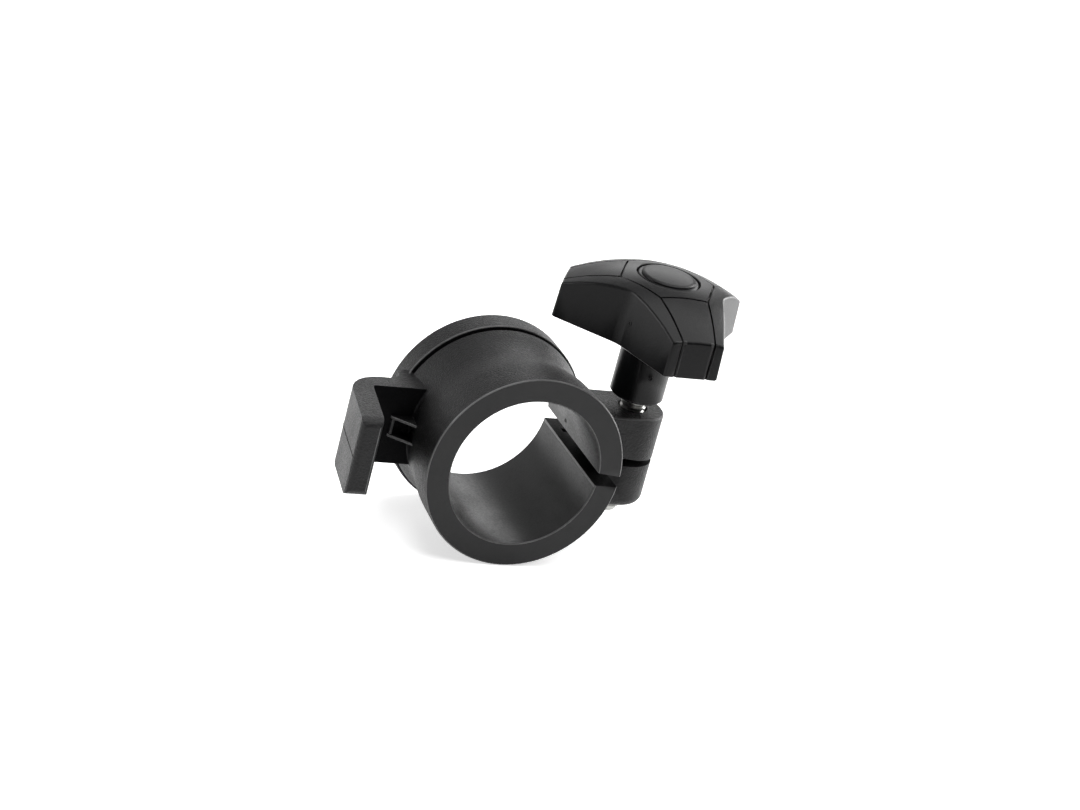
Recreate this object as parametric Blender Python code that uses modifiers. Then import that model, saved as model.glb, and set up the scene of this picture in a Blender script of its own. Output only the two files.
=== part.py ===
# Pole clamp: a split collar with a hook, closed by a three-lobe knob on a bolt.
# The bore runs along Y with its middle at the origin, and the bolt runs along Z.
import math

import bmesh
import bpy
from mathutils import Matrix, Vector

MM = 0.001

# Collar tube, front face towards -Y
BORE_D = 35.0 * MM
FRONT_WALL = 5.5 * MM
BAND_WALL = 5.2 * MM
BAND_W = 7.5 * MM
NECK_L = 11.0 * MM
WAIST_WALL = 3.7 * MM
REAR_WALL = 4.95 * MM
COLLAR_L = 34.0 * MM
COLLAR_EDGE = 0.3 * MM

# Rear ring and the undercut groove in front of it
RING_WALL = 5.5 * MM
RING_W = 6.3 * MM
GROOVE_W = 0.7 * MM
GROOVE_UNDERCUT = 1.1 * MM
GROOVE_WALL = 2.3 * MM

# Lugs and the slit between them
LUG_OFFSET = 7.65 * MM
LUG_Y = 1.3 * MM
LUG_R = 7.4 * MM
LUG_TOP = 10.3 * MM
LUG_BOTTOM = 12.4 * MM
LUG_FILLET = 2.2 * MM
LUG_EDGE = 0.35 * MM
LUG_HOLE_D = 7.0 * MM
SLIT_DROP = 1.7 * MM
SLIT_AT_BORE = 3.1 * MM
SLIT_AT_TIP = 1.0 * MM

# Hook, an L in plan that opens towards the front
HOOK_GAP = 8.9 * MM
HOOK_SEAT_Y = 2.9 * MM
HOOK_ARM_T = 4.8 * MM
HOOK_LEG_T = 5.1 * MM
HOOK_LEG_L = 18.3 * MM
HOOK_FLARE = math.radians(8.6)
HOOK_H = 18.8 * MM
HOOK_OUTER_R = 9.0 * MM
HOOK_INNER_R = 1.0 * MM
HOOK_TIP_R = 1.2 * MM
HOOK_SIDE_R = 2.6 * MM
HOOK_EDGE = 0.35 * MM

# Root of the hook, which runs back across the groove onto the ring
ROOT_OUT = 0.4 * MM
ROOT_LAP = 1.9 * MM
ROOT_FILLET = 3.0 * MM

# Two thin webs between the hook's arm and the tube, and the low sill that joins their outer ends
GUSSET_T = 0.6 * MM
GUSSET_PITCH = 4.4 * MM
GUSSET_OUT = 3.0 * MM
GUSSET_FRONT = 4.8 * MM
GUSSET_BACK = 0.6 * MM

# Bolt and captive nut, M6, with the bolt at its mean thread diameter
BOLT_D = 5.4 * MM
BOLT_END = 3.4 * MM
BOLT_TIP = 0.8 * MM
HEAD_AF = 10.0 * MM
HEAD_H = 4.0 * MM
HEAD_SPARE = 1.5 * MM
NUT_AF = 10.0 * MM
NUT_H = 5.0 * MM
NUT_RECESS = 1.0 * MM
HEX_EDGE = 0.4 * MM

# Knob
KNOB_LIFT = 2.8 * MM
HUB_D = 12.4 * MM
HUB_H = 14.9 * MM
HUB_EDGE = 0.5 * MM
LOBES = 3
LOBE_REACH = 22.8 * MM
LOBE_END_W = 13.0 * MM
LOBE_FLARE = math.radians(18.0)
LOBE_CORNER_R = 0.8 * MM
LOBE_END_H = 8.6 * MM
VALLEY_R = 7.0 * MM
CROWN_H = 15.2 * MM
KNOB_DRAFT = 0.3 * MM
KNOB_EDGE = 0.5 * MM
KNOB_WALL = 2.2 * MM
BOSS_WALL = 1.2 * MM
RIB_T = 1.6 * MM

# Lines moulded into the knob's top: a six-sided panel and two lines along each lobe
PANEL_R = 11.7 * MM
LINE_W = 0.45 * MM
LINE_D = 0.6 * MM
LOBE_LINE_PITCH = 7.7 * MM
END_LINE_W = 0.85 * MM

# Cap over the bolt head
CAP_D = 14.2 * MM
CAP_T = 2.2 * MM
CAP_EDGE = 0.3 * MM
CAP_RIM_W = 0.9 * MM
CAP_STEP = 0.25 * MM

# Gap between pieces that touch on the real object
SEAT_GAP = 0.3 * MM

# How finely round shapes are cut
TUBE_STEPS = 96
ROUND_STEPS = 48
ARC_STEPS = 7
EDGE_STEPS = 4
DOME_RINGS = 7
SHARP_ANGLE = math.radians(32)
FLAT_ANGLE = math.radians(0.001)

# Sizes worked out from those above
BORE_R = BORE_D / 2
FRONT_R = BORE_R + FRONT_WALL
BAND_R = BORE_R + BAND_WALL
WAIST_R = BORE_R + WAIST_WALL
TUBE_REAR_R = BORE_R + REAR_WALL
RING_R = BORE_R + RING_WALL
HALF_L = COLLAR_L / 2
RING_FRONT_Y = HALF_L - RING_W
IN_WALL_X = BORE_R - WAIST_WALL / 2
HOOK_BACK_Y = HOOK_SEAT_Y + HOOK_ARM_T
HOOK_TIP_Y = HOOK_SEAT_Y - HOOK_LEG_L
ROOT_BACK_Y = RING_FRONT_Y + ROOT_LAP
GUSSET_X = -FRONT_R - GUSSET_OUT
SCREW_X = FRONT_R + LUG_OFFSET
LUG_TIP_X = SCREW_X + LUG_R
HUB_Z = LUG_TOP + KNOB_LIFT
LOBE_Z = HUB_Z + HUB_H
CROWN_Z = LOBE_Z + CROWN_H
DOME_FALL = (CROWN_H - LOBE_END_H) / (LOBE_REACH - KNOB_DRAFT) ** 2
LOBE_TURN = 2 * math.pi / LOBES
FIRST_LOBE = math.radians(-90)
CAP_SEAT_R = CAP_D / 2 + SEAT_GAP
CAP_Z = CROWN_Z - DOME_FALL * (CAP_D / 2) ** 2 - CAP_T
CAP_SEAT_Z = CAP_Z - SEAT_GAP
HEAD_Z = CAP_SEAT_Z - HEAD_SPARE - HEAD_H
BOLT_END_Z = -LUG_BOTTOM - BOLT_END
BOLT_HOLE_R = BOLT_D / 2 + SEAT_GAP
NUT_Z = -LUG_BOTTOM + NUT_RECESS
SOFT_45 = 1 - math.sin(math.radians(45))


def clear_scene():
    for obj in list(bpy.data.objects):
        bpy.data.objects.remove(obj, do_unlink=True)


def new_collection(name):
    collection = bpy.data.collections.new(name)
    bpy.context.scene.collection.children.link(collection)
    return collection


clear_scene()
PARTS = new_collection("pipe_clamp")
CUTTERS = new_collection("cutters")


def principled(name, grey, roughness, metallic):
    colour = (grey, grey, grey, 1.0)
    material = bpy.data.materials.new(name)
    material.use_nodes = True
    shader = material.node_tree.nodes["Principled BSDF"]
    shader.inputs["Base Color"].default_value = colour
    shader.inputs["Roughness"].default_value = roughness
    shader.inputs["Metallic"].default_value = metallic
    material.diffuse_color = colour
    return material


def add_object(name, mesh, collection):
    obj = bpy.data.objects.new(name, mesh)
    collection.objects.link(obj)
    if collection is CUTTERS:
        obj.hide_render = True
        obj.display_type = "WIRE"
    return obj


def add_bmesh(name, bm, collection):
    bmesh.ops.recalc_face_normals(bm, faces=bm.faces)
    mesh = bpy.data.meshes.new(name)
    bm.to_mesh(mesh)
    bm.free()
    return add_object(name, mesh, collection)


def finish(obj, material):
    obj.data.materials.append(material)
    obj.data.shade_smooth()
    obj.data.set_sharp_from_angle(angle=SHARP_ANGLE)
    return obj


def combine(target, tools, operation):
    for tool in tools:
        modifier = target.modifiers.new(tool.name, "BOOLEAN")
        modifier.operation = operation
        modifier.object = tool
        modifier.solver = "EXACT"
    return target


def join(target, *tools):
    return combine(target, tools, "UNION")


def cut(target, *tools):
    return combine(target, tools, "DIFFERENCE")


def turned(name, profile, steps, collection=CUTTERS):
    """Turns a profile of (radius, height) points, top to bottom down its outer side, round Z."""
    mesh = bpy.data.meshes.new(name)
    points = [(radius, 0.0, height) for radius, height in profile]
    mesh.from_pydata(points, [(i, i + 1) for i in range(len(points) - 1)], [])
    obj = add_object(name, mesh, collection)
    screw = obj.modifiers.new("turn", "SCREW")
    screw.axis = "Z"
    screw.angle = 2 * math.pi
    screw.steps = steps
    screw.render_steps = steps
    screw.use_merge_vertices = True
    screw.merge_threshold = 1e-6
    return obj


def bar(name, sides, radius, low, high, edge=0.0, collection=CUTTERS):
    """A straight bar on Z with a corner on X, its end edges chamfered by edge."""
    bm = bmesh.new()
    bmesh.ops.create_cone(bm, cap_ends=True, segments=sides, radius1=radius, radius2=radius, depth=high - low)
    bmesh.ops.rotate(bm, verts=bm.verts, matrix=Matrix.Rotation(math.radians(90), 3, "Z"))
    bmesh.ops.translate(bm, verts=bm.verts, vec=(0, 0, (low + high) / 2))
    if edge:
        rims = [e for e in bm.edges if abs(e.verts[0].co.z - e.verts[1].co.z) < edge / 2]
        bmesh.ops.bevel(bm, geom=rims, offset=edge, segments=1, affect="EDGES")
    return add_bmesh(name, bm, collection)


def hexagon(name, across_flats, low, high, edge=0.0, collection=CUTTERS):
    return bar(name, 6, across_flats / math.sqrt(3), low, high, edge, collection)


def wall(name, start, end, thickness, low, high):
    """An upright plate between two points in plan."""
    along = end - start
    bm = bmesh.new()
    bmesh.ops.create_cube(bm, size=1.0)
    bmesh.ops.scale(bm, verts=bm.verts, vec=(along.length, thickness, high - low))
    bmesh.ops.rotate(bm, verts=bm.verts, matrix=Matrix.Rotation(math.atan2(along.y, along.x), 3, "Z"))
    middle = (start + end) / 2
    bmesh.ops.translate(bm, verts=bm.verts, vec=(middle.x, middle.y, (low + high) / 2))
    return add_bmesh(name, bm, CUTTERS)


def loft(name, rings, collection=CUTTERS):
    """Skins a stack of rings with equal point counts, closes both ends and splits faces that aren't flat."""
    bm = bmesh.new()
    loops = [[bm.verts.new(point) for point in ring] for ring in rings]
    for lower, upper in zip(loops, loops[1:]):
        for i in range(len(lower)):
            j = (i + 1) % len(lower)
            bm.faces.new((lower[i], lower[j], upper[j], upper[i]))
    bm.faces.new(loops[0])
    bm.faces.new(loops[-1])
    bmesh.ops.connect_verts_nonplanar(bm, angle_limit=FLAT_ANGLE, faces=bm.faces)
    return add_bmesh(name, bm, collection)


def plan_turn(point, angle):
    c, s = math.cos(angle), math.sin(angle)
    return Vector((c * point[0] - s * point[1], s * point[0] + c * point[1]))


def inset_corners(corners, inset):
    """Moves each side of a counter-clockwise polygon inwards and returns where the sides then meet."""
    sides = []
    for i, start in enumerate(corners):
        along = (corners[(i + 1) % len(corners)] - start).normalized()
        sides.append((start + Vector((-along.y, along.x)) * inset, along))
    moved = []
    for i in range(len(corners)):
        (p, d), (q, e) = sides[i - 1], sides[i]
        reach = ((q.x - p.x) * e.y - (q.y - p.y) * e.x) / (d.x * e.y - d.y * e.x)
        moved.append(p + d * reach)
    return moved


def rounded_outline(corners, radii, inset=0.0):
    """Points round a counter-clockwise polygon with arcs for corners, all moved inwards by inset."""
    sharp = inset_corners([Vector(corner) for corner in corners], inset)
    arcs = []
    for i, corner in enumerate(sharp):
        back = (sharp[i - 1] - corner).normalized()
        ahead = (sharp[(i + 1) % len(sharp)] - corner).normalized()
        convex = back.x * ahead.y - back.y * ahead.x < 0
        radius = max(radii[i] - inset, radii[i] / 10) if convex else radii[i] + inset
        half = back.angle(ahead) / 2
        centre = corner + (back + ahead).normalized() * (radius / math.sin(half))
        start = corner + back * (radius / math.tan(half)) - centre
        turn = (math.pi - 2 * half) * (1 if convex else -1)
        arcs.append([centre + plan_turn(start, turn * k / (ARC_STEPS - 1)) for k in range(ARC_STEPS)])
    points = []
    for i, arc in enumerate(arcs):
        following = arcs[(i + 1) % len(arcs)][0]
        points += arc
        points += [arc[-1].lerp(following, k / EDGE_STEPS) for k in range(1, EDGE_STEPS)]
    return points


def at_height(points, height):
    return [(p[0], p[1], height) for p in points]


def collar_tube():
    """The tube and its rear ring as one solid, its height running to the front until it is laid along Y.

    Behind a front band the tube draws in along a soft S to its waist, then flares to a lip at the groove.
    """
    tube_rear = GROOVE_W - RING_FRONT_Y
    lip = tube_rear + COLLAR_EDGE
    waist = HALF_L - BAND_W - NECK_L
    floor_r = BORE_R + GROOVE_WALL
    neck = []
    for k in range(DOME_RINGS + 1):
        share = k / DOME_RINGS
        drawn_in = share * share * (3 - 2 * share)
        neck.append((BAND_R + (WAIST_R - BAND_R) * drawn_in, HALF_L - BAND_W - NECK_L * share))
    flare = []
    for k in range(1, EDGE_STEPS + 1):
        share = k / EDGE_STEPS
        flare.append((WAIST_R + (TUBE_REAR_R - WAIST_R) * share ** 2, waist + (lip - waist) * share))
    profile = [
        (0.0, HALF_L),
        (FRONT_R - COLLAR_EDGE, HALF_L),
        (FRONT_R, HALF_L - COLLAR_EDGE),
        *neck,
        *flare,
        (TUBE_REAR_R - COLLAR_EDGE, tube_rear),
        (floor_r, tube_rear),
        (floor_r, -RING_FRONT_Y - GROOVE_UNDERCUT),
        (RING_R - COLLAR_EDGE, -RING_FRONT_Y),
        (RING_R, -RING_FRONT_Y - COLLAR_EDGE),
        (RING_R, COLLAR_EDGE - HALF_L),
        (RING_R - COLLAR_EDGE, -HALF_L),
        (0.0, -HALF_L),
    ]
    return lay_along_y(turned("collar", profile, TUBE_STEPS, PARTS))


def bore_cutter():
    past = HALF_L + COLLAR_EDGE
    front = [(0.0, past), (BORE_R + 2 * COLLAR_EDGE, past), (BORE_R, HALF_L - COLLAR_EDGE)]
    rear = [(radius, -height) for radius, height in reversed(front)]
    return lay_along_y(turned("bore_cutter", front + rear, TUBE_STEPS))


def lay_along_y(obj):
    obj.rotation_euler.x = math.radians(90)
    return obj


def lug_block():
    """Both lugs in one block, with a round tip and a fillet under it."""
    half_turn = ROUND_STEPS // 2

    def ring(inset, height):
        radius = LUG_R - inset
        headings = [math.radians(-90) + math.pi * k / half_turn for k in range(half_turn + 1)]
        tip = [(SCREW_X + radius * math.cos(h), LUG_Y + radius * math.sin(h), height) for h in headings]
        return tip + [(0.0, LUG_Y + radius, height), (0.0, LUG_Y - radius, height)]

    rings = []
    for k in range(ARC_STEPS):
        rise = math.radians(90) * k / (ARC_STEPS - 1)
        rings.append(ring(LUG_FILLET * (1 - math.sin(rise)), LUG_FILLET * (1 - math.cos(rise)) - LUG_BOTTOM))
    rings.append(ring(0.0, LUG_TOP - LUG_EDGE))
    rings.append(ring(LUG_EDGE, LUG_TOP))
    return loft("lug_block", rings)


def slit_cutter():
    """A wedge along the whole collar, wide at the bore and narrow at the tip of the lugs."""
    past = LUG_TIP_X + SLIT_AT_TIP
    narrowing = (SLIT_AT_BORE - SLIT_AT_TIP) / (LUG_TIP_X - BORE_R)

    def top(x):
        return SLIT_AT_TIP + narrowing * (LUG_TIP_X - x) - SLIT_DROP

    section = [(0.0, -SLIT_DROP), (past, -SLIT_DROP), (past, top(past)), (0.0, top(0.0))]
    ends = (-HALF_L - COLLAR_EDGE, HALF_L + COLLAR_EDGE)
    return loft("slit_cutter", [[(x, y, z) for x, z in section] for y in ends])


def hook_outline():
    """The L of the hook in plan, from its root in the tube wall round the leg."""
    inner_x = -FRONT_R - HOOK_GAP
    outer_x = inner_x - HOOK_LEG_T / math.cos(HOOK_FLARE)
    root_x = -RING_R - ROOT_OUT
    flare = math.tan(HOOK_FLARE)
    corners = [
        (-IN_WALL_X, HOOK_SEAT_Y),
        (-IN_WALL_X, ROOT_BACK_Y),
        (root_x, ROOT_BACK_Y),
        (root_x, HOOK_BACK_Y),
        (outer_x + HOOK_ARM_T * flare, HOOK_BACK_Y),
        (outer_x - HOOK_LEG_L * flare, HOOK_TIP_Y),
        (inner_x - HOOK_LEG_L * flare, HOOK_TIP_Y),
        (inner_x, HOOK_SEAT_Y),
    ]
    radii = [HOOK_TIP_R] * 3 + [ROOT_FILLET, HOOK_OUTER_R, HOOK_TIP_R, HOOK_TIP_R, HOOK_INNER_R]
    return rounded_outline(corners, radii)


def hook_side():
    """The hook's side view as a block across it, with round corners that end just past the tip."""
    half = HOOK_H / 2
    front_y = HOOK_TIP_Y - HOOK_SIDE_R / 20
    back_y = ROOT_BACK_Y + 2 * HOOK_SIDE_R
    corners = [(front_y, -half), (back_y, -half), (back_y, half), (front_y, half)]
    section = rounded_outline(corners, [HOOK_SIDE_R] * len(corners))
    return loft("hook_side", [[(x, p.x, p.y) for p in section] for x in (-3 * FRONT_R, 0.0)])


def hook_blank():
    """The hook: what its plan and its side view have in common, with every edge softened."""
    blank = loft("hook_blank", [at_height(hook_outline(), height) for height in (-HOOK_H, HOOK_H)])
    combine(blank, [hook_side()], "INTERSECT")
    soft = blank.modifiers.new("soft_edges", "BEVEL")
    soft.width = HOOK_EDGE
    soft.segments = 2
    soft.limit_method = "ANGLE"
    soft.angle_limit = SHARP_ANGLE
    return blank


def gusset(name, middle):
    """A thin web between the hook's arm and the tube."""
    buried_y = HOOK_SEAT_Y + HOOK_ARM_T / 2
    front_y = HOOK_SEAT_Y - GUSSET_FRONT
    section = [
        (-IN_WALL_X, front_y),
        (-IN_WALL_X, buried_y),
        (GUSSET_X, buried_y),
        (GUSSET_X, HOOK_SEAT_Y - GUSSET_BACK),
        (-WAIST_R, front_y),
    ]
    return loft(name, [at_height(section, middle + side * GUSSET_T / 2) for side in (-1, 1)])


def gusset_sill():
    """The low sill between the gussets' outer ends."""
    sill_x = GUSSET_X + GUSSET_T
    start = Vector((sill_x, HOOK_SEAT_Y + HOOK_ARM_T / 2))
    end = Vector((sill_x, HOOK_SEAT_Y - GUSSET_BACK))
    return wall("gusset_sill", start, end, GUSSET_T, -GUSSET_PITCH / 2, GUSSET_PITCH / 2)


def make_collar(screw_axis, material):
    collar = collar_tube()
    join(collar, lug_block(), hook_blank(), gusset_sill())
    for side, name in ((-1, "gusset_lower"), (1, "gusset_upper")):
        join(collar, gusset(name, side * GUSSET_PITCH / 2))
    bolt_hole = bar("lug_hole_cutter", ROUND_STEPS, LUG_HOLE_D / 2, -2 * LUG_BOTTOM, 2 * LUG_TOP)
    pocket_top = NUT_Z + NUT_H + SEAT_GAP
    nut_pocket = hexagon("nut_pocket_cutter", NUT_AF + 2 * SEAT_GAP, -2 * LUG_BOTTOM, pocket_top)
    for cutter in (bolt_hole, nut_pocket):
        cutter.parent = screw_axis
    cut(collar, bore_cutter(), slit_cutter(), bolt_hole, nut_pocket)
    return finish(collar, material)


def knob_outline(inset):
    """The lobes in plan: two corners at each lobe's end and a wide arc in each valley."""
    half_end = LOBE_END_W / 2
    slope = math.tan(LOBE_FLARE)
    half_turn = LOBE_TURN / 2
    valley = (half_end + slope * LOBE_REACH) / (math.sin(half_turn) + slope * math.cos(half_turn))
    corners = []
    for lobe in range(LOBES):
        heading = FIRST_LOBE + lobe * LOBE_TURN
        corners.append(plan_turn((LOBE_REACH, -half_end), heading))
        corners.append(plan_turn((LOBE_REACH, half_end), heading))
        corners.append(plan_turn((valley, 0.0), heading + half_turn))
    return rounded_outline(corners, [LOBE_CORNER_R, LOBE_CORNER_R, VALLEY_R] * LOBES, inset)


def dome_z(radius):
    return CROWN_Z - DOME_FALL * radius ** 2


def knob_body(name, inset, bottom, collection=CUTTERS):
    """The lobes with drafted flanks and a domed top, taken inwards all round by inset."""

    def domed(points, drop):
        return [(p.x, p.y, dome_z(p.length) - inset - drop) for p in points]

    foot = KNOB_EDGE / 2
    rings = [at_height(knob_outline(inset + foot), bottom), at_height(knob_outline(inset), bottom + foot)]
    for inwards, drop in ((0.0, 1.0), (SOFT_45, SOFT_45), (1.0, 0.0)):
        rings.append(domed(knob_outline(inset + KNOB_DRAFT + inwards * KNOB_EDGE), drop * KNOB_EDGE))
    top = knob_outline(inset + KNOB_DRAFT + KNOB_EDGE)
    for k in range(1, DOME_RINGS):
        rings.append(domed([p * (1 - k / DOME_RINGS) for p in top], 0.0))
    return loft(name, rings, collection)


def knob_core():
    """The hollow under the knob, less its middle boss and a rib along each lobe."""
    low = LOBE_Z - KNOB_WALL
    core = knob_body("knob_core", KNOB_WALL, low)
    # Two sides more than usual, so that no edge of the boss falls in line with a corner of the hollow
    boss = bar("knob_boss", ROUND_STEPS + 2, CAP_SEAT_R + BOSS_WALL, low - KNOB_WALL, CROWN_Z)
    cut(core, boss)
    tools = [core, boss]
    for lobe in range(LOBES):
        end = plan_turn((LOBE_REACH, 0.0), FIRST_LOBE + lobe * LOBE_TURN)
        rib = wall(f"knob_rib_{lobe}", Vector((0.0, 0.0)), end, RIB_T, low - KNOB_WALL, CROWN_Z)
        cut(core, rib)
        tools.append(rib)
    return core, tools


def knob_lines():
    """The lines in the knob's top, cut to an even depth by keeping what lies outside a smaller knob."""
    low = LOBE_Z - LINE_D
    high = CROWN_Z + LINE_D
    inner = knob_body("line_floor", LINE_D, low - LINE_D)
    sides = 2 * LOBES
    corners = [plan_turn((PANEL_R, 0.0), FIRST_LOBE + (k + 0.5) * LOBE_TURN / 2) for k in range(sides)]
    walls = []
    for k, corner in enumerate(corners):
        before = corners[k - 1]
        over = (corner - before).normalized() * (LINE_W / 2)
        walls.append(wall(f"panel_line_{k}", before - over, corner + over, LINE_W, low, high))
        side = 1 if k % 2 == 0 else -1
        lobe = FIRST_LOBE + (k + 1) // 2 * LOBE_TURN
        end = plan_turn((LOBE_REACH, side * LOBE_LINE_PITCH / 2), lobe)
        past = (end - corner).normalized() * LINE_W
        walls.append(wall(f"lobe_line_{k}", corner, end, LINE_W, low, high))
        walls.append(wall(f"end_line_{k}", end - past, end + past, END_LINE_W, low, high))
    lines = join(walls[0], *walls[1:])
    cut(lines, inner)
    return lines, walls + [inner]


def cap_seat_cutter():
    rim = CAP_Z + CAP_T
    profile = [
        (0.0, CROWN_Z + CAP_T),
        (CAP_SEAT_R + CAP_EDGE, CROWN_Z + CAP_T),
        (CAP_SEAT_R + CAP_EDGE, rim),
        (CAP_SEAT_R, rim - CAP_EDGE),
        (CAP_SEAT_R, CAP_SEAT_Z),
        (0.0, CAP_SEAT_Z),
    ]
    return turned("cap_seat_cutter", profile, ROUND_STEPS)


def make_knob(screw_axis, material):
    knob = knob_body("knob", 0.0, LOBE_Z, PARTS)
    hub = bar("knob_hub", ROUND_STEPS, HUB_D / 2, HUB_Z, LOBE_Z + KNOB_WALL, HUB_EDGE)
    core, core_tools = knob_core()
    lines, line_tools = knob_lines()
    cap_seat = cap_seat_cutter()
    head_pocket = hexagon("head_pocket_cutter", HEAD_AF + 2 * SEAT_GAP, HEAD_Z - SEAT_GAP, CAP_Z)
    bolt_hole = bar("hub_hole_cutter", ROUND_STEPS, BOLT_HOLE_R, HUB_Z - KNOB_LIFT, CAP_Z)
    cut(knob, core)
    join(knob, hub)
    cut(knob, lines, cap_seat, head_pocket, bolt_hole)
    for obj in [knob, hub, cap_seat, head_pocket, bolt_hole] + core_tools + line_tools:
        obj.parent = screw_axis
    return finish(knob, material)


def make_cap(screw_axis, material):
    """The round cap: a disc that is part of the knob's dome, with a lower rim round it."""
    radius = CAP_D / 2
    rim = CAP_Z + CAP_T - CAP_STEP
    disc = radius - CAP_RIM_W
    shares = [k / DOME_RINGS for k in range(DOME_RINGS + 1)]
    profile = [(disc * share, dome_z(disc * share)) for share in shares]
    profile += [(disc, rim), (radius - CAP_EDGE, rim), (radius, rim - CAP_EDGE)]
    profile += [(radius, CAP_Z), (0.0, CAP_Z)]
    cap = turned("knob_cap", profile, ROUND_STEPS, PARTS)
    cap.parent = screw_axis
    return finish(cap, material)


def make_bolt(screw_axis, material):
    """Hex head and shank in one piece. The thread is left off the solid."""
    bolt = hexagon("clamp_bolt", HEAD_AF, HEAD_Z, HEAD_Z + HEAD_H, HEX_EDGE, PARTS)
    shank = bar("bolt_shank", ROUND_STEPS, BOLT_D / 2, BOLT_END_Z, HEAD_Z + HEAD_H / 2, BOLT_TIP)
    join(bolt, shank)
    for obj in (bolt, shank):
        obj.parent = screw_axis
    return finish(bolt, material)


def make_nut(screw_axis, material):
    nut = hexagon("captive_nut", NUT_AF, NUT_Z, NUT_Z + NUT_H, HEX_EDGE, PARTS)
    hole = bar("nut_hole_cutter", ROUND_STEPS, BOLT_HOLE_R, NUT_Z - NUT_H, NUT_Z + 2 * NUT_H)
    cut(nut, hole)
    for obj in (nut, hole):
        obj.parent = screw_axis
    return finish(nut, material)


screw_axis = bpy.data.objects.new("screw_axis", None)
screw_axis.location = (SCREW_X, LUG_Y, 0.0)
PARTS.objects.link(screw_axis)

make_collar(screw_axis, principled("black_nylon_matte", 0.022, 0.55, 0.0))
make_knob(screw_axis, principled("black_nylon_satin", 0.020, 0.45, 0.0))
make_cap(screw_axis, principled("black_cap_plastic", 0.022, 0.42, 0.0))
make_bolt(screw_axis, principled("zinc_plated_bolt", 0.62, 0.30, 1.0))
make_nut(screw_axis, principled("zinc_plated_nut", 0.60, 0.32, 1.0))
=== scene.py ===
# %% [markdown]
# Pole clamp: loading the solid model
#
# The clamp is a split collar moulded in black nylon. A knob on a steel bolt pulls its two lugs together, and
# a hook stands out on the far side. The solid model gives every size. This file gives the pieces their
# finish, adds the fine detail that a solid model leaves out, and sets up the picture.

# %% load
import math

import bmesh
import bpy
from mathutils import Matrix, Vector


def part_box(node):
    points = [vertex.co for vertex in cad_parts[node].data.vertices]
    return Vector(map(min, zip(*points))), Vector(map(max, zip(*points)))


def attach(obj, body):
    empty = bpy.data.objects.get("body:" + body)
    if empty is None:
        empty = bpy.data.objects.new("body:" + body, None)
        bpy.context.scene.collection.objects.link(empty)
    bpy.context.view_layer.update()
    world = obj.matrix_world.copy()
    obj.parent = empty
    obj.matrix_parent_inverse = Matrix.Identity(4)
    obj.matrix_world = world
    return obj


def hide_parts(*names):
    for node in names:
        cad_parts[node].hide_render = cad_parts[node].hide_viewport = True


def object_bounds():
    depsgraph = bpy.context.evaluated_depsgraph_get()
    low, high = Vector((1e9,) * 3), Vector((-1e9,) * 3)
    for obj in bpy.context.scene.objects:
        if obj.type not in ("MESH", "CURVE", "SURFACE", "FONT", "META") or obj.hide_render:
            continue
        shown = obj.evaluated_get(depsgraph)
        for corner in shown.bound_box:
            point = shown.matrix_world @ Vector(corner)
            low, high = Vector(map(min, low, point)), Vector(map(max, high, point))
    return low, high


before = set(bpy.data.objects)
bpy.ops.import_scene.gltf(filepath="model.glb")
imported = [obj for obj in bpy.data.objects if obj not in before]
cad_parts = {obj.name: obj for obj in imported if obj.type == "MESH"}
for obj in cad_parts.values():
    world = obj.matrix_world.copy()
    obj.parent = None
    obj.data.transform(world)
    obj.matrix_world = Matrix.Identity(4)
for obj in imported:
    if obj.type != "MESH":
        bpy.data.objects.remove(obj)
CAD_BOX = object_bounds()
MM = 0.001
print("solid pieces:", sorted(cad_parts))

# %% [markdown]
# The camera
#
# A long lens keeps the round ends of the collar nearly true ellipses, as they are in the photograph. The
# place and the three angles were worked out from the outlines of the bore and the knob. The view is rolled,
# so the bolt leans to the right in the picture although it stands upright in the model.

# %% camera
CAMERA_PLACE = Vector((-264.28, -560.23, 265.27)) * MM
CAMERA_AZIMUTH = math.radians(-25.866)
CAMERA_ELEVATION = math.radians(22.362)
CAMERA_ROLL = math.radians(-15.048)
LENS_MM = 100.0
SENSOR_MM = 36.0


def add_camera():
    forward = Vector((
        -math.sin(CAMERA_AZIMUTH) * math.cos(CAMERA_ELEVATION),
        math.cos(CAMERA_AZIMUTH) * math.cos(CAMERA_ELEVATION),
        -math.sin(CAMERA_ELEVATION),
    ))
    level = forward.cross(Vector((0, 0, 1))).normalized()
    down = forward.cross(level)
    right = level * math.cos(CAMERA_ROLL) + down * math.sin(CAMERA_ROLL)
    up = right.cross(forward)
    data = bpy.data.cameras.new("camera")
    data.lens = LENS_MM
    data.sensor_width = SENSOR_MM
    data.clip_start = 0.01
    camera = bpy.data.objects.new("camera", data)
    turn = Matrix((right, up, -forward)).transposed().to_4x4()
    camera.matrix_world = Matrix.Translation(CAMERA_PLACE) @ turn
    bpy.context.scene.collection.objects.link(camera)
    bpy.context.scene.camera = camera


add_camera()
print("camera", round(CAMERA_PLACE.length, 3), "m from the middle of the bore")

# %% [markdown]
# Helpers for materials
#
# Colours are written as they look on a screen, in hex, and one function makes them linear for the shader.
# Another adds a node with its settings and links, so that each material reads as a list of what feeds what.


# %% colour and node helpers
def linear(hex_colour):
    """Turns a screen colour into the linear values that a shader needs, by the sRGB curve."""
    channels = [int(hex_colour[i:i + 2], 16) / 255 for i in (1, 3, 5)]
    straight = [c / 12.92 if c <= 0.04045 else ((c + 0.055) / 1.055) ** 2.4 for c in channels]
    return (*straight, 1.0)


def add_node(tree, kind, settings=None, links=None):
    """Adds a node with its attributes and its inputs. An input given a socket is linked, a value is set."""
    node = tree.nodes.new(kind)
    for name, value in (settings or {}).items():
        setattr(node, name, value)
    for key, value in (links or {}).items():
        if isinstance(value, bpy.types.NodeSocket):
            tree.links.new(value, node.inputs[key])
        else:
            node.inputs[key].default_value = value
    return node


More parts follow.
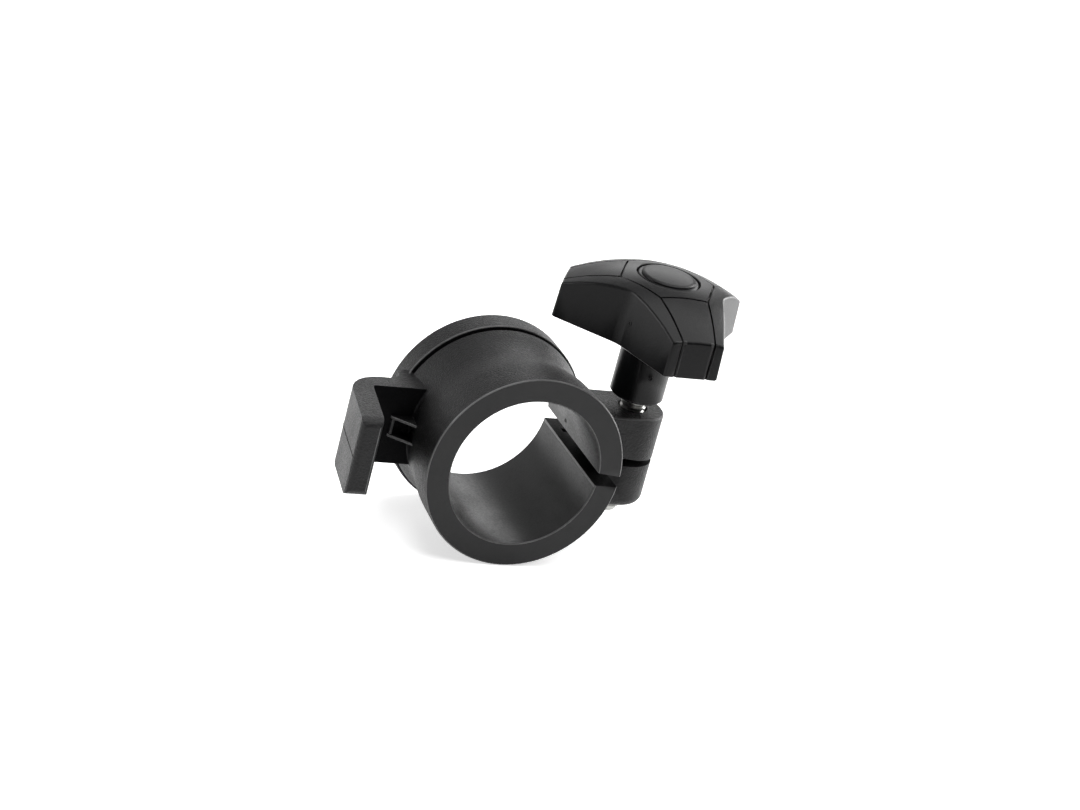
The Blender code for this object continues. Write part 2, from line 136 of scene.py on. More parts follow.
def new_material(name):
    material = bpy.data.materials.new(name)
    material.use_nodes = True
    tree = material.node_tree
    tree.nodes.clear()
    return material, tree


def per_mm(size):
    """The scale of a texture whose features are size millimetres wide."""
    return 1.0 / (size * MM)


print("a screen grey of #808080 is", round(linear("#808080")[0], 3), "in linear light")

# %% [markdown]
# Black nylon
#
# The collar and the knob are moulded in black glass-filled nylon. The mould is spark eroded, so most faces
# have a fine even grain that spreads the light. The bore and the front face are trimmed smooth, because they
# slide on the pole and against its shoulder. Real grain is about 0.1 mm and too fine to show here, so it is
# drawn at 0.4 mm. A wide soft cloud varies the sheen a little, as handling does. Narrow edges are painted
# pale grey as a highlight, for the light that a small rounded edge catches. A mesh attribute says where.

# %% nylon
GRAIN_MM = 0.42
CLOUD_MM = 9.0
CLOUD_SHARE = 0.35
NOISE_LOW, NOISE_HIGH = 0.35, 0.65
SPREAD_PER_MM = 0.5
TONE_LOW, TONE_HIGH = 0.7, 1.3
TRIM_POLISH = 0.1
TRIM_BUMP = 0.1
# Pale grey painted onto narrow edges as a highlight.
EDGE_HIGHLIGHT_GREY = "#808080"
BORE_RADIUS_MM = 17.5
FRONT_Y_MM = -17.0
BORE_BLEND_MM = (0.05, 0.3)
FRONT_BLEND_MM = 0.4


def shade_of(hex_colour, factor):
    """The same colour, lighter or darker by a factor."""
    return (*(channel * factor for channel in linear(hex_colour)[:3]), 1.0)


def grained_share(tree, place, bore_radius_mm, front_y_mm):
    """One on the grained outside of the collar, and nothing in the bore and on the front face."""
    axes = add_node(tree, "ShaderNodeSeparateXYZ", None, {"Vector": place}).outputs
    flat = add_node(tree, "ShaderNodeCombineXYZ", None, {"X": axes["X"], "Y": axes["Z"]})
    radius = add_node(tree, "ShaderNodeVectorMath", {"operation": "LENGTH"}, {0: flat.outputs["Vector"]})
    outside = add_node(tree, "ShaderNodeMapRange", None, {
        "Value": radius.outputs["Value"],
        "From Min": (bore_radius_mm + BORE_BLEND_MM[0]) * MM,
        "From Max": (bore_radius_mm + BORE_BLEND_MM[1]) * MM})
    behind = add_node(tree, "ShaderNodeMapRange", None, {
        "Value": axes["Y"], "From Min": front_y_mm * MM,
        "From Max": (front_y_mm + FRONT_BLEND_MM) * MM})
    return add_node(tree, "ShaderNodeMath", {"operation": "MULTIPLY"}, {
        0: outside.outputs["Result"], 1: behind.outputs["Result"]}).outputs[0]


def moulded_nylon(name, hex_colour, roughness, specular, grain_depth_mm, trimmed=None):
    material, tree = new_material(name)
    spread = SPREAD_PER_MM * grain_depth_mm
    place = add_node(tree, "ShaderNodeTexCoord").outputs["Object"]
    grain = add_node(tree, "ShaderNodeTexNoise", None, {
        "Vector": place, "Scale": per_mm(GRAIN_MM), "Detail": 2.0, "Roughness": 0.6}).outputs["Fac"]
    cloud = add_node(tree, "ShaderNodeTexNoise", None, {
        "Vector": place, "Scale": per_mm(CLOUD_MM), "Detail": 4.0, "Roughness": 0.55}).outputs["Fac"]
    both = add_node(tree, "ShaderNodeMix", None, {
        "Factor": CLOUD_SHARE, "A": grain, "B": cloud}).outputs["Result"]
    sheen = add_node(tree, "ShaderNodeMapRange", None, {
        "Value": both, "From Min": NOISE_LOW, "From Max": NOISE_HIGH,
        "To Min": roughness - spread, "To Max": roughness + spread}).outputs["Result"]
    tone = add_node(tree, "ShaderNodeMix", {"data_type": "RGBA"}, {
        "Factor": both, 6: shade_of(hex_colour, TONE_LOW), 7: shade_of(hex_colour, TONE_HIGH)}).outputs[2]
    # Narrow edges are painted pale grey as a highlight, patchy with the cloud.
    painted_edge_highlight = add_node(tree, "ShaderNodeAttribute", {"attribute_name": "painted_edge_highlight"}).outputs["Fac"]
    patchy_highlight = add_node(tree, "ShaderNodeMath", {"operation": "MULTIPLY"}, {0: painted_edge_highlight, 1: cloud}).outputs[0]
    edge_highlighted = add_node(tree, "ShaderNodeMix", {"data_type": "RGBA"}, {
        "Factor": patchy_highlight, 6: tone, 7: linear(EDGE_HIGHLIGHT_GREY)}).outputs[2]
    strength = 1.0
    if trimmed:
        share = grained_share(tree, place, *trimmed)
        strength = add_node(tree, "ShaderNodeMapRange", None, {
            "Value": share, "To Min": TRIM_BUMP}).outputs["Result"]
        sheen = add_node(tree, "ShaderNodeMath", {"operation": "MULTIPLY_ADD"}, {
            0: share, 1: TRIM_POLISH, 2: sheen}).outputs[0]
    bump = add_node(tree, "ShaderNodeBump", None, {
        "Strength": strength, "Distance": grain_depth_mm * MM, "Height": grain}).outputs["Normal"]
    shader = add_node(tree, "ShaderNodeBsdfPrincipled", None, {
        "Base Color": edge_highlighted, "Roughness": sheen, "Specular IOR Level": specular, "Normal": bump})
    add_node(tree, "ShaderNodeOutputMaterial", None, {"Surface": shader.outputs["BSDF"]})
    return material


# A dry, fine grain that catches light on the outside, with a smoother bore and front face.
COLLAR_NYLON = moulded_nylon(
    "glass_filled_nylon_grained", "#0b0b0c", roughness=0.38, specular=0.28, grain_depth_mm=0.2,
    trimmed=(BORE_RADIUS_MM, FRONT_Y_MM))
# A smoother, deeper black that shows the knob's dome as one soft gradient.
KNOB_NYLON = moulded_nylon(
    "glass_filled_nylon_satin", "#09090a", roughness=0.33, specular=0.155, grain_depth_mm=0.03)
# A little duller and paler than the knob, so that the cap reads as its own piece.
CAP_NYLON = moulded_nylon(
    "glass_filled_nylon_cap", "#0b0b0c", roughness=0.4, specular=0.185, grain_depth_mm=0.03)
# Flat and dark, so that the mould's seam reads as a hairline.
SEAM_NYLON = moulded_nylon(
    "glass_filled_nylon_seam", "#050505", roughness=0.7, specular=0.1, grain_depth_mm=0.03)
# Painted shade: nearly lightless and rough, for the faces in the slit and inside the hook.
RECESS_SHADE_NYLON = moulded_nylon(
    "glass_filled_nylon_painted_shade", "#060607", roughness=0.6, specular=0.08, grain_depth_mm=0.1)
for each in (COLLAR_NYLON, KNOB_NYLON, CAP_NYLON, SEAM_NYLON, RECESS_SHADE_NYLON):
    print("nylon material:", each.name)

# %% [markdown]
# Zinc plated steel
#
# The bolt and the nut are steel with a bright zinc plate, a pale and nearly neutral grey. Rolling the thread
# and plating it leave small streaks, so the roughness and the tone vary along the piece.

# %% zinc
STREAK_MM = 0.5
STREAK_LOW, STREAK_HIGH = 0.3, 0.7
STREAK_BUMP = 0.3
STREAK_DEPTH_MM = 0.006
SMOOTHER, ROUGHER = 0.04, 0.05
ZINC_DARK, ZINC_PALE = 0.9, 1.1


def zinc_plate(name, hex_colour, roughness):
    material, tree = new_material(name)
    place = add_node(tree, "ShaderNodeTexCoord").outputs["Object"]
    streak = add_node(tree, "ShaderNodeTexNoise", None, {
        "Vector": place, "Scale": per_mm(STREAK_MM), "Detail": 4.0, "Roughness": 0.65})
    polish = add_node(tree, "ShaderNodeMapRange", None, {
        "Value": streak.outputs["Fac"], "From Min": STREAK_LOW, "From Max": STREAK_HIGH,
        "To Min": roughness - SMOOTHER, "To Max": roughness + ROUGHER}).outputs["Result"]
    tone = add_node(tree, "ShaderNodeMix", {"data_type": "RGBA"}, {
        "Factor": streak.outputs["Fac"],
        6: shade_of(hex_colour, ZINC_DARK), 7: shade_of(hex_colour, ZINC_PALE)})
    bump = add_node(tree, "ShaderNodeBump", None, {
        "Strength": STREAK_BUMP, "Distance": STREAK_DEPTH_MM * MM, "Height": streak.outputs["Fac"]})
    shader = add_node(tree, "ShaderNodeBsdfPrincipled", None, {
        "Base Color": tone.outputs[2], "Metallic": 1.0, "Roughness": polish,
        "Normal": bump.outputs["Normal"]})
    add_node(tree, "ShaderNodeOutputMaterial", None, {"Surface": shader.outputs["BSDF"]})
    return material


# Bright arcs on the crests of the thread.
BOLT_ZINC = zinc_plate("zinc_plated_steel_bolt", "#a9a9a6", roughness=0.31)
# Softer than the bolt, because the nut is tumbled and not rolled.
NUT_ZINC = zinc_plate("zinc_plated_steel_nut", "#c6c6c4", roughness=0.34)
print("steel materials:", BOLT_ZINC.name, NUT_ZINC.name)

# %% [markdown]
# Mouldings
#
# The solid model's surfaces come as loose triangles, each lit as a flat facet. A copy with its corners joined
# can be shaded smooth, so a round tube looks round. Triangles that lie in one plane are made one face. Most
# moulded edges have a small chamfer. Normals that are weighted by area keep the wide faces flat and let the
# light run round the chamfer, as it does on a rounded edge. The copy then stands in for the solid piece.

# %% smooth copies
SHARP = math.radians(55)
CAP_SHARP = math.radians(30)
SAME_PLANE = math.radians(0.2)
JOIN_MM = 0.002


def settle(piece, body, slot, *nodes):
    """Ties a finished piece to its body, and to the solid pieces that it stands for. The slot is not used."""
    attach(piece, body)
    if nodes:
        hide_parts(*nodes)
    print(piece.name, len(piece.data.polygons), "faces, rides on", body)


def as_shown(carrier, name):
    """Takes an object with its modifiers as a plain mesh and removes the object."""
    bpy.context.view_layer.update()
    shown = carrier.evaluated_get(bpy.context.evaluated_depsgraph_get())
    mesh = bpy.data.meshes.new_from_object(shown)
    mesh.name = name
    bpy.data.objects.remove(carrier)
    return mesh


def add_piece(name, mesh):
    piece = bpy.data.objects.new(name, mesh)
    bpy.context.scene.collection.objects.link(piece)
    return piece


def smooth_copy(node, name, material, sharp=SHARP):
    bm = bmesh.new()
    bm.from_mesh(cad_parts[node].data)
    bmesh.ops.remove_doubles(bm, verts=bm.verts, dist=JOIN_MM * MM)
    bmesh.ops.dissolve_degenerate(bm, edges=bm.edges, dist=JOIN_MM * MM)
    bmesh.ops.dissolve_limit(bm, angle_limit=SAME_PLANE, verts=bm.verts, edges=bm.edges)
    mesh = bpy.data.meshes.new(name + "_joined")
    bm.to_mesh(mesh)
    bm.free()
    mesh.materials.clear()
    mesh.materials.append(material)
    mesh.shade_smooth()
    mesh.set_sharp_from_angle(angle=sharp)
    carrier = add_piece(name + "_joined", mesh)
    even = carrier.modifiers.new("even", "WEIGHTED_NORMAL")
    even.mode = "FACE_AREA"
    even.keep_sharp = True
    return add_piece(name, as_shown(carrier, name))


for node_name, node in sorted(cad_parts.items()):
    print(node_name, len(node.data.polygons), "triangles in the solid")

# %% [markdown]
# Dome, painted shade and painted edge highlights
#
# Three things show on the mouldings that a smooth copy alone doesn't give. The knob's top is one round dome,
# but thin faces beside its moulded lines would bend the light, so its normals are worked out from the dome
# itself. The slit and the inside of the hook get a rough nylon painted almost black, as painted shade for
# these recesses. Narrow chamfers and rib edges get a pale painted highlight, and show as fine light lines.

# %% finishing functions
bolt_low, bolt_high = (Vector(corner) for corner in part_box("clamp_bolt"))
SCREW_X = (bolt_low.x + bolt_high.x) / 2
SCREW_Y = (bolt_low.y + bolt_high.y) / 2
# The dome falls by DOME_FALL times the square of the distance from the screw's axis, in metres.
DOME_TOP = 43.2 * MM
DOME_FALL = 13.04
DOME_SLACK = 0.08 * MM
DOME_FACING = 0.75
EDGE_WIDTH = 0.7 * MM
EDGE_TURN = (math.radians(25), math.radians(100))
FLAT_TOP = 0.85
# Where the slit and the inside of the hook are, whose faces get painted shade, in millimetres.
SLIT_X, SLIT_Z = 17.4, (-1.8, 1.6)
HOOK_X, HOOK_Y, HOOK_HALF_Z = (-36.0, -19.0), (-15.0, 3.0), 9.2
ARM_Y = 2.8
LEG_X = -31.5
WEB_X, WEB_HALF_Z = -27.0, 2.6
SQUARE_ON = 0.9


def even_dome(piece):
    """Gives the knob's top the normals of its own round dome, whatever thin faces lie beside its lines."""
    mesh = piece.data
    normals = [corner.vector.copy() for corner in mesh.corner_normals]
    for face in mesh.polygons:
        for i in face.loop_indices:
            spot = mesh.vertices[mesh.loops[i].vertex_index].co
            out = Vector((spot.x - SCREW_X, spot.y - SCREW_Y))
            dome = Vector((*(2 * DOME_FALL * out), 1.0)).normalized()
            height = DOME_TOP - DOME_FALL * out.length_squared
            if abs(spot.z - height) < DOME_SLACK and face.normal.dot(dome) > DOME_FACING:
                normals[i] = dome
    mesh.normals_split_custom_set(normals)


def paint_recess_shade(piece):
    """Paints shade on the faces in the slit and inside the hook, with a rough and nearly black nylon."""
    # Faces in the slit and inside the hook take the dark nylon as painted shade.
    piece.data.materials.append(RECESS_SHADE_NYLON)
    count = 0
    for face in piece.data.polygons:
        place, facing = face.center / MM, face.normal
        level = abs(facing.z) > SQUARE_ON
        in_slit = place.x > SLIT_X and SLIT_Z[0] < place.z < SLIT_Z[1] and level
        across = HOOK_X[0] < place.x < HOOK_X[1] and HOOK_Y[0] < place.y < HOOK_Y[1]
        beside_hook = across and abs(place.z) < HOOK_HALF_Z
        on_arm = place.y > ARM_Y and facing.y < -SQUARE_ON
        on_leg = place.x < LEG_X and facing.x > SQUARE_ON
        on_web = place.x > WEB_X and abs(place.z) < WEB_HALF_Z and level
        if in_slit or (beside_hook and (on_arm or on_leg or on_web)):
            face.material_index = 1
            count += 1
    print(count, "faces with painted shade")


def paint_edge_highlights(piece, level):
    """Marks narrow chamfers and rib edges for a pale painted highlight, in an attribute that the nylon reads.
    """
    bm = bmesh.new()
    bm.from_mesh(piece.data)
    values = []
    for face in bm.faces:
        turns = [edge.calc_face_angle_signed(0.0) for edge in face.edges]
        bent = [turn for turn in turns if EDGE_TURN[0] < turn < EDGE_TURN[1]]
        width = face.calc_area() / max(edge.calc_length() for edge in face.edges)
        slanted = face.normal.z < FLAT_TOP
        values.append(level if slanted and len(bent) > 1 and width < EDGE_WIDTH else 0.0)
    bm.free()
    # The attribute says which faces get the pale painted highlight, and how strongly.
    painted_edge_highlight = piece.data.attributes.new("painted_edge_highlight", "FLOAT", "FACE")
    painted_edge_highlight.data.foreach_set("value", values)
    print(piece.name, sum(1 for value in values if value), "worn faces")


print("screw axis at", round(SCREW_X / MM, 2), round(SCREW_Y / MM, 2), "mm")

# %% [markdown]
# Dressing the mouldings
#
# Each copy takes its own nylon or zinc and rides on the body of the piece that it stands for. The knob's
# edges get less of the pale painted highlight than the collar's, as they look in the photograph. The cap has
# a lower limit for sharp edges than the rest, so that its rim stays crisp.

# %% dressed mouldings
# How strongly the narrow edges of each moulding get the pale painted highlight.
COLLAR_EDGE_HIGHLIGHT, KNOB_EDGE_HIGHLIGHT = 1.0, 0.4

collar = smooth_copy("collar", "collar_moulding", COLLAR_NYLON)
settle(collar, "collar", "collar_plastic", "collar")
knob = smooth_copy("knob", "knob_moulding", KNOB_NYLON)
settle(knob, "knob", "knob_plastic", "knob")
even_dome(knob)
# The slit and the inside of the hook get painted shade.
paint_recess_shade(collar)
paint_edge_highlights(collar, COLLAR_EDGE_HIGHLIGHT)
paint_edge_highlights(knob, KNOB_EDGE_HIGHLIGHT)
cap = smooth_copy("knob_cap", "cap_disc", CAP_NYLON, CAP_SHARP)
settle(cap, "feed", "cap_plastic", "knob_cap")
nut = smooth_copy("captive_nut", "nut_body", NUT_ZINC)
settle(nut, "collar", "nut_steel", "captive_nut")

# %% [markdown]
# The mould's seam
#
# The two halves of the mould meet half way up the hook, and a hair of plastic squeezes into the joint. The
# path is the collar's own outline at that height, so the seam follows the hook however it is shaped. Geometry
# Nodes sweeps a small round along it. A real seam is some 0.05 mm high; it is drawn at twice that to show.

# %% seam tree
SEAM_RADIUS = 0.1 * MM
ARM_START_X = -27.0 * MM
ARM_MIDDLE_Y = 5.0 * MM
LEG_MIDDLE_X = -35.5 * MM
LEG_END_Y = -14.5 * MM


def new_tree(name, inputs):
    """An empty Geometry Nodes tree that takes a mesh and the named numbers."""
    tree = bpy.data.node_groups.new(name, "GeometryNodeTree")
    tree.interface.new_socket("Geometry", in_out="OUTPUT", socket_type="NodeSocketGeometry")
    tree.interface.new_socket("Geometry", in_out="INPUT", socket_type="NodeSocketGeometry")
    for each in inputs:
        tree.interface.new_socket(each, in_out="INPUT", socket_type="NodeSocketFloat")
    return tree, add_node(tree, "NodeGroupInput").outputs


def close_tree(tree, made, material):
    """Ends a tree with its result as plain faces in one material."""
    whole = add_node(tree, "GeometryNodeRealizeInstances", None, {"Geometry": made})
    dressed = add_node(tree, "GeometryNodeSetMaterial", None, {
        "Geometry": whole.outputs["Geometry"], "Material": material})
    add_node(tree, "NodeGroupOutput", None, {"Geometry": dressed.outputs["Geometry"]})
    return tree


def from_tree(name, tree, values, start_mesh=None):
    """Runs a tree with the given inputs, on a mesh if it needs one, and returns a plain mesh."""
    carrier = add_piece(name + "_tree", start_mesh or bpy.data.meshes.new(name + "_tree"))
    modifier = carrier.modifiers.new("tree", "NODES")
    modifier.node_group = tree
    for item in tree.interface.items_tree:
        if item.in_out == "INPUT" and item.name in values:
            modifier[item.identifier] = values[item.name]
    return as_shown(carrier, name)


def seam_tree(material):
    tree, given = new_tree("mould_seam", ["Radius"])
    path = add_node(tree, "GeometryNodeMeshToCurve", None, {"Mesh": given["Geometry"]})
    bead = add_node(tree, "GeometryNodeCurvePrimitiveCircle", None, {
        "Resolution": 6, "Radius": given["Radius"]})
    swept = add_node(tree, "GeometryNodeCurveToMesh", None, {
        "Curve": path.outputs["Curve"], "Profile Curve": bead.outputs["Curve"], "Fill Caps": True})
    return close_tree(tree, swept.outputs["Mesh"], material)


def hook_path():
    """The outside of the hook half way up, cut out of the collar's copy."""
    bm = bmesh.new()
    bm.from_mesh(collar.data)
    everything = bm.verts[:] + bm.edges[:] + bm.faces[:]
    bmesh.ops.bisect_plane(
        bm, geom=everything, plane_co=(0, 0, 0), plane_no=(0, 0, 1), clear_inner=True, clear_outer=True)
    kept = set()
    for vert in bm.verts:
        on_arm = vert.co.x < ARM_START_X and vert.co.y > ARM_MIDDLE_Y
        on_leg = vert.co.x < LEG_MIDDLE_X and vert.co.y > LEG_END_Y
        if on_arm or on_leg:
            kept.add(vert)
    bmesh.ops.delete(bm, geom=[v for v in bm.verts if v not in kept], context="VERTS")
    path = bpy.data.meshes.new("hook_path")
    bm.to_mesh(path)
    bm.free()
    return path


seam_mesh = from_tree("hook_seam", seam_tree(SEAM_NYLON), {"Radius": SEAM_RADIUS}, hook_path())
seam_mesh.shade_smooth()
settle(add_piece("hook_seam", seam_mesh), "collar", "collar_plastic")

# %% [markdown]
# The mould's round marks
#
# Round marks are left where the plastic entered and where pins pushed the piece out. They could be modelled
# one by one. They repeat, so Geometry Nodes places one small cup on each spot and turns it to face out of
# the surface.

# %% marks
CUP = {"Radius": 0.42 * MM, "Lip": 0.11 * MM}
# Each mark is a place in millimetres and the direction that the surface faces there.
KNOB_MARKS = [
    ((19.82, -7.72, 34.08), (-0.951, -0.309, 0.025)),
    ((29.95, -4.85, 19.96), (-0.065, -0.998, 0.0)),
]
COLLAR_MARKS = [((17.17, 5.26, 3.41), (-0.987, 0.0, -0.163))]


def cup_tree(material):
    tree, given = new_tree("moulding_cup", CUP)
    rim = add_node(tree, "GeometryNodeCurvePrimitiveCircle", None, {
        "Resolution": 20, "Radius": given["Radius"]})
    lip = add_node(tree, "GeometryNodeCurvePrimitiveCircle", None, {
        "Resolution": 8, "Radius": given["Lip"]})
    ring = add_node(tree, "GeometryNodeCurveToMesh", None, {
        "Curve": rim.outputs["Curve"], "Profile Curve": lip.outputs["Curve"]})
    facing = add_node(tree, "GeometryNodeInputNamedAttribute", {"data_type": "FLOAT_VECTOR"}, {
        "Name": "facing"})
    turn = add_node(tree, "FunctionNodeAlignRotationToVector", {"axis": "Z"}, {
        "Vector": facing.outputs["Attribute"]})
    placed = add_node(tree, "GeometryNodeInstanceOnPoints", None, {
        "Points": given["Geometry"], "Instance": ring.outputs["Mesh"],
        "Rotation": turn.outputs["Rotation"]})
    return close_tree(tree, placed.outputs["Instances"], material)


def mark_points(name, marks):
    """A mesh of single points, each with the direction that its surface faces."""
    mesh = bpy.data.meshes.new(name)
    mesh.from_pydata([Vector(place) * MM for place, facing in marks], [], [])
    facings = mesh.attributes.new("facing", "FLOAT_VECTOR", "POINT")
    for point, (place, facing) in zip(facings.data, marks):
        point.vector = facing
    return mesh


for name, marks, material, body, slot in (
        ("knob_marks", KNOB_MARKS, KNOB_NYLON, "knob", "knob_plastic"),
        ("collar_marks", COLLAR_MARKS, COLLAR_NYLON, "collar", "collar_plastic")):
    cup_mesh = from_tree(name, cup_tree(material), CUP, mark_points(name + "_points", marks))
    cup_mesh.shade_smooth()
    settle(add_piece(name, cup_mesh), body, slot)

# %% [markdown]
# The rolled thread
#
# An M6 thread climbs 1 mm each turn. It follows a path, so Geometry Nodes makes it: a helix with a ridge
# swept along it. The ridge is wide at its foot and narrow at its crest, and it fades at both ends, as a
# rolled thread runs out. The helix's own normal points inward, so the ridge's section is turned to stand
# outward.

# %% thread tree
THREAD = {
    "Turns": 33.0, "Pitch": 1.0 * MM, "Root radius": 2.46 * MM, "Depth": 0.5 * MM,
    "Foot": 0.86 * MM, "Crest": 0.16 * MM, "Run out": 1.0,
}
POINTS_PER_TURN = 48
FADED = 0.05


def thread_tree(material):
    tree, given = new_tree("rolled_thread", THREAD)
    rise = add_node(tree, "ShaderNodeMath", {"operation": "MULTIPLY"}, {
        0: given["Turns"], 1: given["Pitch"]})
    helix = add_node(tree, "GeometryNodeCurveSpiral", None, {
        "Resolution": POINTS_PER_TURN, "Rotations": given["Turns"], "Start Radius": given["Root radius"],
        "End Radius": given["Root radius"], "Height": rise.outputs[0], "Reverse": False})
    upright = add_node(tree, "GeometryNodeSetCurveNormal", {"mode": "Z_UP"}, {
        "Curve": helix.outputs["Curve"]})
    section = add_node(tree, "GeometryNodeCurvePrimitiveQuadrilateral", {"mode": "TRAPEZOID"}, {
        "Height": given["Depth"], "Bottom Width": given["Foot"], "Top Width": given["Crest"],
        "Offset": 0.0})
    half = add_node(tree, "ShaderNodeMath", {"operation": "DIVIDE"}, {0: given["Depth"], 1: -2.0})
    lift = add_node(tree, "ShaderNodeCombineXYZ", None, {"X": half.outputs[0]})
    outward = add_node(tree, "GeometryNodeTransform", None, {
        "Geometry": section.outputs["Curve"], "Translation": lift.outputs["Vector"],
        "Rotation": (0.0, 0.0, math.radians(90))})
    share = add_node(tree, "GeometryNodeSplineParameter")
    to_middle = add_node(tree, "ShaderNodeMath", {"operation": "PINGPONG"}, {
        0: share.outputs["Factor"], 1: 0.5})
    turns = add_node(tree, "ShaderNodeMath", {"operation": "MULTIPLY"}, {
        0: to_middle.outputs[0], 1: given["Turns"]})
    fade = add_node(tree, "ShaderNodeMapRange", None, {
        "Value": turns.outputs[0], "From Max": given["Run out"], "To Min": FADED})
    ridge = add_node(tree, "GeometryNodeCurveToMesh", None, {
        "Curve": upright.outputs["Curve"], "Profile Curve": outward.outputs["Geometry"],
        "Scale": fade.outputs["Result"], "Fill Caps": True})
    return close_tree(tree, ridge.outputs["Mesh"], material)


print("thread of", round(THREAD["Turns"]), "turns, pitch", THREAD["Pitch"] / MM, "mm")

# %% [markdown]
# The bolt under the thread
#
# The rest of the bolt is a plain bar at the root of the thread, with a chamfered tip, a smooth shank and a
# hex head under the cap. Its sections are all round or six-sided, so plain cones in one mesh make it. The
# ridge and the bar together stand in for the solid bolt.

# %% bolt
HEAD_FLATS = bolt_high.y - bolt_low.y
HEAD_TALL = 4.0 * MM
HEAD_CHAMFER = 0.4 * MM
BAR_SIDES = 48
SHANK_R = 2.7 * MM
CORE_OVERLAP = 0.03 * MM
CORE_R = THREAD["Root radius"] + CORE_OVERLAP
TIP_R = 1.9 * MM
TIP_TALL = 0.6 * MM
RIDGE_SHARP = math.radians(40)
BAR_SHARP = math.radians(30)
thread_low = bolt_low.z + TIP_TALL / 2
thread_high = thread_low + THREAD["Turns"] * THREAD["Pitch"]

thread_mesh = from_tree("bolt_thread", thread_tree(BOLT_ZINC), THREAD)
print("thread radius", round(max(v.co.xy.length for v in thread_mesh.vertices) / MM, 2), "mm")
thread_mesh.transform(Matrix.Translation((SCREW_X, SCREW_Y, thread_low)))
thread_mesh.shade_smooth()
thread_mesh.set_sharp_from_angle(angle=RIDGE_SHARP)
settle(add_piece("bolt_thread", thread_mesh), "knob", "bolt_steel", "clamp_bolt")


def round_bar(bm, low, high, low_radius, high_radius):
    bmesh.ops.create_cone(
        bm, cap_ends=True, segments=BAR_SIDES, radius1=low_radius, radius2=high_radius, depth=high - low,
        matrix=Matrix.Translation((0, 0, (low + high) / 2)))


def bolt_bar():
    """The bolt without its ridge: chamfered tip, core, shank and chamfered hex head."""
    bm = bmesh.new()
    corner_r = HEAD_FLATS / math.sqrt(3)
    lift = Matrix.Translation((0, 0, bolt_high.z - HEAD_TALL / 2))
    lay = lift @ Matrix.Rotation(math.radians(90), 4, "Z")
    head = bmesh.ops.create_cone(
        bm, cap_ends=True, segments=6, radius1=corner_r, radius2=corner_r, depth=HEAD_TALL, matrix=lay)
    rims = {edge for corner in head["verts"] for edge in corner.link_edges
            if abs(edge.verts[0].co.z - edge.verts[1].co.z) < HEAD_CHAMFER}
    bmesh.ops.bevel(bm, geom=list(rims), offset=HEAD_CHAMFER, segments=2, affect="EDGES")
    round_bar(bm, thread_high - THREAD["Pitch"], bolt_high.z - HEAD_TALL / 2, SHANK_R, SHANK_R)
    round_bar(bm, bolt_low.z + TIP_TALL, thread_high, CORE_R, CORE_R)
    round_bar(bm, bolt_low.z, bolt_low.z + TIP_TALL, TIP_R, CORE_R)
    bmesh.ops.translate(bm, verts=bm.verts, vec=(SCREW_X, SCREW_Y, 0))
    bmesh.ops.recalc_face_normals(bm, faces=bm.faces)
    mesh = bpy.data.meshes.new("bolt_bar")
    bm.to_mesh(mesh)
    bm.free()
    mesh.materials.append(BOLT_ZINC)
    mesh.shade_smooth()
    mesh.set_sharp_from_angle(angle=BAR_SHARP)
    return add_piece("bolt_bar", mesh)


settle(bolt_bar(), "knob", "bolt_steel", "clamp_bolt")

# %% [markdown]
# The studio
#
# The clamp stands on a wide white table under soft boxes. The table is plain white paint. Seen straight on or
# in a reflection it glows a little, so it reads as a clean white ground while it still takes a soft shadow.

# %% table
TABLE_SIZE = 4.0
TABLE_WHITE = "#f0f0f0"
TABLE_GLOW = 0.59
TABLE_GAP = 0.1 * MM
TABLE_TOP = CAD_BOX[0][2] - TABLE_GAP


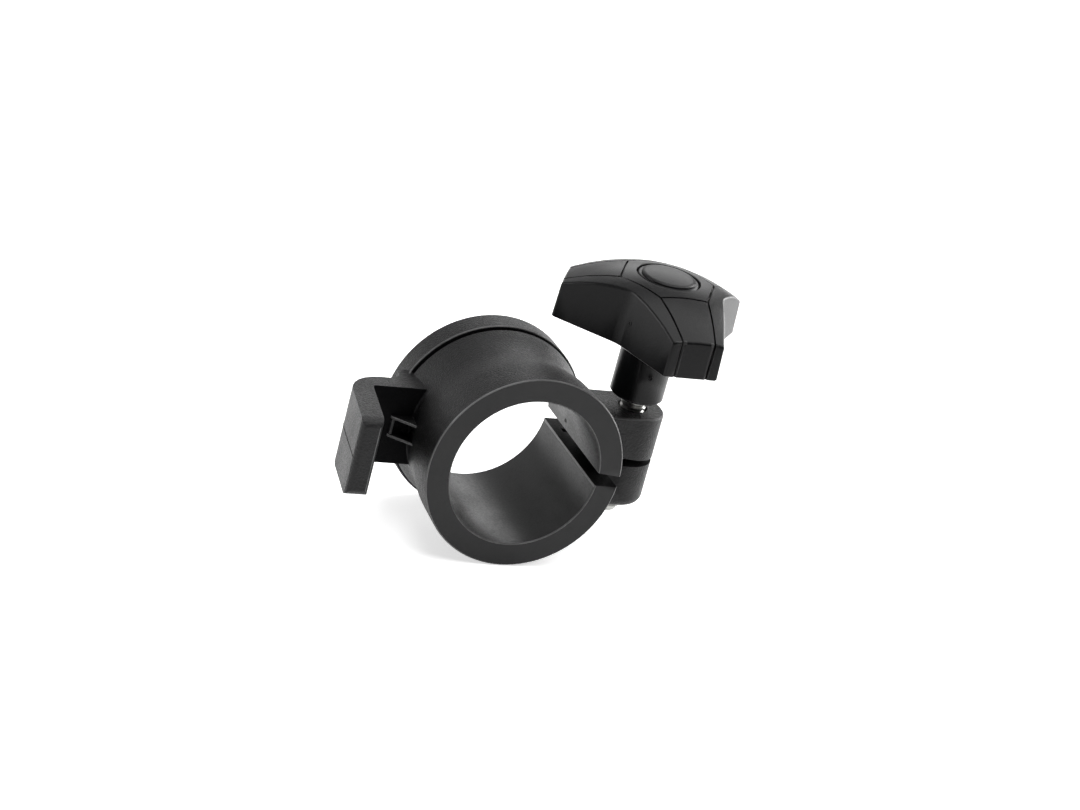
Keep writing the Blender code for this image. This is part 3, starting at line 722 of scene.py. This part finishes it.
def white_table():
    material, tree = new_material("matte_white_table")
    ray = add_node(tree, "ShaderNodeLightPath").outputs
    either = add_node(tree, "ShaderNodeMath", {"operation": "MAXIMUM"}, {
        0: ray["Is Camera Ray"], 1: ray["Is Glossy Ray"]})
    seen = add_node(tree, "ShaderNodeMath", {"operation": "MAXIMUM"}, {
        0: either.outputs[0], 1: ray["Is Transmission Ray"]})
    glow = add_node(tree, "ShaderNodeMath", {"operation": "MULTIPLY"}, {
        0: seen.outputs[0], 1: TABLE_GLOW})
    shader = add_node(tree, "ShaderNodeBsdfPrincipled", None, {
        "Base Color": linear(TABLE_WHITE), "Roughness": 0.9, "Specular IOR Level": 0.0,
        "Emission Color": (1.0, 1.0, 1.0, 1.0), "Emission Strength": glow.outputs[0]})
    add_node(tree, "ShaderNodeOutputMaterial", None, {"Surface": shader.outputs["BSDF"]})
    mesh = bpy.data.meshes.new("table")
    bm = bmesh.new()
    bmesh.ops.create_grid(bm, x_segments=1, y_segments=1, size=TABLE_SIZE / 2)
    bmesh.ops.translate(bm, verts=bm.verts, vec=(0, 0, TABLE_TOP))
    bm.to_mesh(mesh)
    bm.free()
    mesh.materials.append(material)
    table = add_piece("table", mesh)


white_table()
print("table top at", round(TABLE_TOP, 4), "m")

# %% [markdown]
# The lamps
#
# Black nylon shows little colour of its own, so what the eye reads is the lamps that it mirrors. A large box
# overhead lights the table and the dome. Narrow boxes at the left and the right light the sides of the bore
# and the hub. A wide dim box and a small one at the back are mirrored in the top of the tube, the lugs and
# the cap.

# %% lamps
WORLD_GLOW = 0.06
# Each lamp has a name, a place and a width and height in metres, and a power in watts.
LAMPS = [
    ("overhead_box", (0.2, -0.05, 1.0), (1.3, 1.3), 17.0),
    ("left_box", (-0.8, 0.25, 0.22), (0.35, 0.7), 5.5),
    ("right_box", (0.8, 0.35, 0.25), (0.35, 0.7), 7.0),
    ("back_right_box", (0.5, 0.95, 0.45), (0.5, 0.5), 1.7),
    ("back_box", (0.0, 1.0, 0.4), (1.6, 0.6), 2.5),
]


def add_lamps():
    for name, place, size, power in LAMPS:
        data = bpy.data.lights.new(name, "AREA")
        data.shape = "RECTANGLE"
        data.size, data.size_y = size
        data.energy = power
        lamp = bpy.data.objects.new(name, data)
        lamp.location = place
        lamp.rotation_euler = (-Vector(place)).to_track_quat("-Z", "Y").to_euler()
        bpy.context.scene.collection.objects.link(lamp)


add_lamps()
world = bpy.data.worlds.new("studio")
bpy.context.scene.world = world
world.use_nodes = True
world.node_tree.nodes.clear()
room = add_node(world.node_tree, "ShaderNodeBackground", None, {
    "Color": (1.0, 1.0, 1.0, 1.0), "Strength": WORLD_GLOW})
add_node(world.node_tree, "ShaderNodeOutputWorld", None, {"Surface": room.outputs["Background"]})
bpy.context.scene.view_settings.view_transform = "Standard"
print("lamps:", ", ".join(name for name, *rest in LAMPS))
